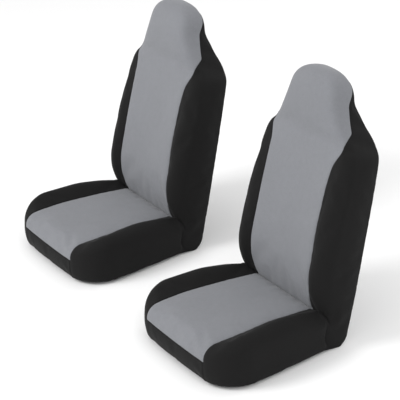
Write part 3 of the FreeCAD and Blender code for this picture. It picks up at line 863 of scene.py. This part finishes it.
def ribbed_section(width, thick, ribs):
    """Section of a webbing: rounded edges and shallow lengthwise ribs on both faces."""
    count = 4 * ribs + 1
    x = np.linspace(-0.5, 0.5, count)
    edge = np.sqrt(np.clip(1 - (np.abs(x) * 2) ** 10, 0, 1))
    high = 0.5 * thick * edge * (0.86 + 0.14 * np.cos(2 * math.pi * ribs * x))
    top = np.column_stack([x * width, high])
    return np.concatenate([top, (top * [1, -1])[::-1][1:-1]])


def soft_piece(name, cover, shape, slot, node, bends=False, sharp=60):
    """A piece of one cover in place of a CAD node, riding on its seat bottom, or with its placement baked in
    where it lies at the bight.
    """
    points, faces = shape
    piece = new_piece(f"{cover}_{name}", in_cover(points, cover), faces, None, (MATERIALS[slot],), sharp)
    if bends:
        fold(piece)
    else:
        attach(piece, "seat_bottoms")
    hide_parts(f"{cover}_{node}")
    return piece


def hem_line():
    """The turned-under edge of the seat bottom's cloth, all the way round the open underside."""
    rears = np.concatenate([np.linspace(SEAT_END, FAN_ROW, 40), np.linspace(FAN_ROW, FRONT_ROW, 30)[1:]])
    half = [rib(rear)[-1] for rear in rears]
    half = [np.array([half[0][0] + 0.004, SEAT_END + 0.02, half[0][2]])] + half
    middle = [np.array([x, half[-1][1], half[-1][2]]) for x in np.linspace(half[-1][0], 0, 12)[1:]]
    line = np.array(half + middle)
    return np.concatenate([line, (line * [-1, 1, 1])[::-1][1:]])


def inward(path):
    """Level directions square to a path."""
    along = np.gradient(path, axis=0)
    return np.column_stack([-along[:, 1], along[:, 0], np.zeros(len(path))])


def hem_casing(step=0.0022):
    """The gathered tube of cloth that the elastic runs in."""
    line = hem_line()
    total = lengths(line)[-1]
    path = walk(line, np.arange(0, total, step)) + np.array([0, 0, HEM_MIDDLE])
    turn = np.linspace(0, 2 * math.pi, 13)[:-1]
    seeds = np.random.default_rng(7)
    phase = np.cumsum(2 * math.pi * step / 0.0105 * (1 + 0.35 * seeds.standard_normal(len(path))))

    def section(number):
        gather = 1 + 0.13 * math.sin(phase[number])
        wide, tall = 0.0065 * gather, HEM_MIDDLE * (0.8 * gather + 0.12)
        squash = np.abs(np.cos(turn)) ** 0.8 * np.sign(np.cos(turn))
        return np.column_stack([wide * squash, tall * np.sin(turn)])

    return sweep(path, inward(path), section)


def hem_elastic():
    line = hem_line()
    path = walk(line, np.arange(0.01, lengths(line)[-1] - 0.01, 0.008)) + np.array([0, 0, HEM_MIDDLE])
    return sweep(path, inward(path), ribbed_section(0.007, 0.0022, 3))


def back_elastic():
    """The elastic inside the backrest's rear hem, round the round end's lower rear."""
    turn = math.radians(46)
    radius = ROUND_END - 0.003
    x = np.linspace(-0.232, 0.232, 80)
    flat = np.column_stack([x, np.full(80, radius * math.cos(turn)), np.full(80, -radius * math.sin(turn))])
    path = lean_back(flat)
    across = np.array([0, -math.sin(turn + LEAN), -math.cos(turn + LEAN)])
    return sweep(path, across, ribbed_section(0.010, 0.0014, 4))


FLAP_HALF = 0.150
FLAP_LOW = 0.0025
FLAP_THICK = 0.0016
FLAP_TOP_REAR = 0.4345
FLAP_REAR = 0.4145
FLAP_ROWS = 22
FLAP_COLUMNS = 46


def flap():
    """The flap that is pushed through the bight, hanging to the pull straps; it ripples a little."""
    size = (FLAP_ROWS, FLAP_COLUMNS)
    x = np.linspace(-FLAP_HALF, FLAP_HALF, FLAP_COLUMNS)
    down = np.linspace(0, 1, FLAP_ROWS)
    top = BIGHT_HIGH - 0.004
    high = top + (FLAP_LOW - top) * down
    rear = FLAP_TOP_REAR + (FLAP_REAR - FLAP_TOP_REAR) * smoothstep(0, 0.45, down)
    ripple = 0.0022 * down[:, None] ** 0.5 * np.sin(x[None] * 90 + 1.5 * np.sin(x[None] * 31))
    grid = np.stack([np.broadcast_to(x, size), rear[:, None] + ripple,
                     np.broadcast_to(high[:, None], size)], -1).reshape(-1, 3)
    first = np.array([(i * FLAP_COLUMNS + j) for i in range(FLAP_ROWS - 1) for j in range(FLAP_COLUMNS - 1)])
    quads = np.column_stack([first, first + 1, first + FLAP_COLUMNS + 1, first + FLAP_COLUMNS])
    back = grid + np.array([0, FLAP_THICK, 0])
    rim = boundary_edges(quads)
    walls = np.column_stack([rim[:, 1], rim[:, 0], rim[:, 0] + len(grid), rim[:, 1] + len(grid)])
    return np.concatenate([grid, back]), np.concatenate([quads, quads[:, ::-1] + len(grid), walls])


CROSS_REAR = 0.200
STRAP_HIGH = 0.0077
STRAP = ribbed_section(0.025, 0.0015, 9)
STRAP_ROOT = 0.247
SEWN_RISE = 0.004
SOCKET_BAR = 0.036
PLUG_BAR = 0.012
PULL_PLACE = 0.090
PULL_REAR = 0.4128
PULL_TOP = 0.040
PULL_TURN = 0.0085
PULL_HIGH = 0.0015
PIN_REAR = 0.303
PIN_HIGH = 0.0044
LOOP_RADIUS = 0.0031


def cross_strap(start, end):
    """Half of the strap across the underside, from its buckle end to where it is sewn under the hem."""
    count = 90
    x = np.linspace(start, end, count)
    near_hem = smoothstep(abs(end) - 0.05, abs(end), np.abs(x))
    high = STRAP_HIGH + SEWN_RISE * near_hem + 0.0004 * np.sin(x * 60)
    return sweep(np.column_stack([x, np.full(count, CROSS_REAR), high]), (0, 1, 0), STRAP)


def pull_strap(side):
    """An elastic pull strap: sewn to the flap, forward under the seat, round the hook's pin and back."""
    foot_high = PULL_HIGH + PULL_TURN
    down = np.column_stack([np.full(10, PULL_REAR), np.linspace(PULL_TOP, foot_high, 10)])
    turn = np.linspace(0, math.pi / 2, 8)[1:]
    foot = np.column_stack([PULL_REAR - PULL_TURN * (1 - np.cos(turn)), foot_high - PULL_TURN * np.sin(turn)])
    flat = np.column_stack([np.linspace(0.403, PIN_REAR + 0.001, 40), np.full(40, PULL_HIGH)])
    turn = np.linspace(1.5 * math.pi, 0.2 * math.pi, 18)[1:]
    loop = np.column_stack([PIN_REAR + LOOP_RADIUS * np.cos(turn), PIN_HIGH + LOOP_RADIUS * np.sin(turn)])
    tail = np.column_stack([np.linspace(PIN_REAR + 0.006, PIN_REAR + 0.030, 8),
                            np.linspace(0.0040, 0.0031, 8)])
    line = np.concatenate([down, foot, flat, loop, tail])
    path = np.column_stack([np.full(len(line), side * PULL_PLACE), line])
    return sweep(path, (1, 0, 0), ribbed_section(0.0195, 0.0013, 7))


def make_underside(cover):
    """Hem, elastics, flap and straps of one cover."""
    soft_piece("seat_hem_casing", cover, hem_casing(), "black_fabric", "seat_hem")
    soft_piece("seat_hem_band", cover, hem_elastic(), "elastic", "seat_hem_elastic")
    soft_piece("back_hem_band", cover, back_elastic(), "elastic", "back_hem_elastic", bends=True)
    hanging = soft_piece("bight_flap_cloth", cover, flap(), "lining", "bight_flap", bends=True)
    webbing = cross_strap(SOCKET_BAR, STRAP_ROOT)
    soft_piece("left_cross_webbing", cover, webbing, "webbing", "cross_strap_left")
    elastic = soft_piece("right_cross_webbing", cover, cross_strap(-PLUG_BAR, -STRAP_ROOT), "elastic",
                         "cross_strap_right", sharp=50)
    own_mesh(elastic)
    for side, sign in (("left", 1), ("right", -1)):
        soft_piece(f"{side}_pull_webbing", cover, pull_strap(sign), "elastic", f"pull_strap_{side}")


def finish_hardware():
    """Procedural materials for the CAD nodes that stay."""
    for name in frame["nodes"]:
        if name.endswith(("_slider", "_socket", "_plug")):
            slot = "black_plastic"
        elif "_hook_" in name:
            slot = "hook_metal"
        else:
            continue
        for place in bpy.data.objects[name].material_slots:
            place.material = MATERIALS[slot]


# ---------------------------------------------------------------- studio

FLOOR_SIZE = 120.0
CAMERA_TURN = math.radians(59.3)
CAMERA_PITCH = math.radians(26.0)
CAMERA_ROLL = math.radians(-4.5)
CAMERA_OFFSET = (-0.08, -0.53, 5.17)
CAMERA_LENS = 144.6


def add_camera():
    """Camera at the viewing angle, placed from the driver's cover: offsets are along its own axes."""
    turn, pitch, roll = CAMERA_TURN, CAMERA_PITCH, CAMERA_ROLL
    back = Vector((math.sin(turn) * math.cos(pitch), -math.cos(turn) * math.cos(pitch), math.sin(pitch)))
    level = Vector((math.cos(turn), math.sin(turn), 0))
    rise = back.cross(level)
    right = math.cos(roll) * level + math.sin(roll) * rise
    up = -math.sin(roll) * level + math.cos(roll) * rise
    across, high, far = CAMERA_OFFSET
    spot = Vector(in_cover((0, 0, 0), "driver")) - right * across - up * high + back * far
    camera = bpy.data.objects.new("camera", bpy.data.cameras.new("camera"))
    camera.data.lens = CAMERA_LENS
    camera.data.sensor_width = 36
    camera.matrix_world = Matrix.Translation(spot) @ Matrix((right, up, back)).transposed().to_4x4()
    bpy.context.collection.objects.link(camera)
    bpy.context.scene.camera = camera


def add_light(name, spot, target, power, size):
    lamp = bpy.data.lights.new(name, "AREA")
    lamp.energy = power
    lamp.shape = "DISK"
    lamp.size = size
    light = bpy.data.objects.new(name, lamp)
    light.location = spot
    light.rotation_euler = (Vector(target) - Vector(spot)).to_track_quat("-Z", "Y").to_euler()
    bpy.context.collection.objects.link(light)


def add_studio():
    floor_mesh = bpy.data.meshes.new("floor")
    half = FLOOR_SIZE / 2
    corners = [(-half, -half, 0), (half, -half, 0), (half, half, 0), (-half, half, 0)]
    floor_mesh.from_pydata(corners, [], [(0, 1, 2, 3)])
    floor = bpy.data.objects.new("floor", floor_mesh)
    bpy.context.collection.objects.link(floor)
    paper = bpy.data.materials.new("pale_paper")
    paper.use_nodes = True
    shader = paper.node_tree.nodes["Principled BSDF"]
    shader.inputs["Base Color"].default_value = (0.9, 0.9, 0.9, 1)
    shader.inputs["Roughness"].default_value = 0.9
    floor_mesh.materials.append(paper)
    world = bpy.data.worlds.new("studio")
    world.use_nodes = True
    world.node_tree.nodes["Background"].inputs["Color"].default_value = (1, 1, 1, 1)
    world.node_tree.nodes["Background"].inputs["Strength"].default_value = 0.85
    bpy.context.scene.world = world
    add_light("key", (-1.2, -3.6, 3.4), (0, 0, 0.3), 130, 2.2)
    add_light("fill", (3.8, -0.6, 2.6), (0, 0, 0.3), 40, 2.5)
    add_light("rear", (0.5, 4.0, 3.0), (0, 0, 0.4), 40, 2.5)
    bpy.context.scene.view_settings.view_transform = "Standard"


def main():
    rough = cover_skin()
    soften(rough)
    make_panels(subdivided(rough))
    for cover in COVERS:
        make_underside(cover)
    finish_hardware()
    add_camera()
    add_studio()


main()
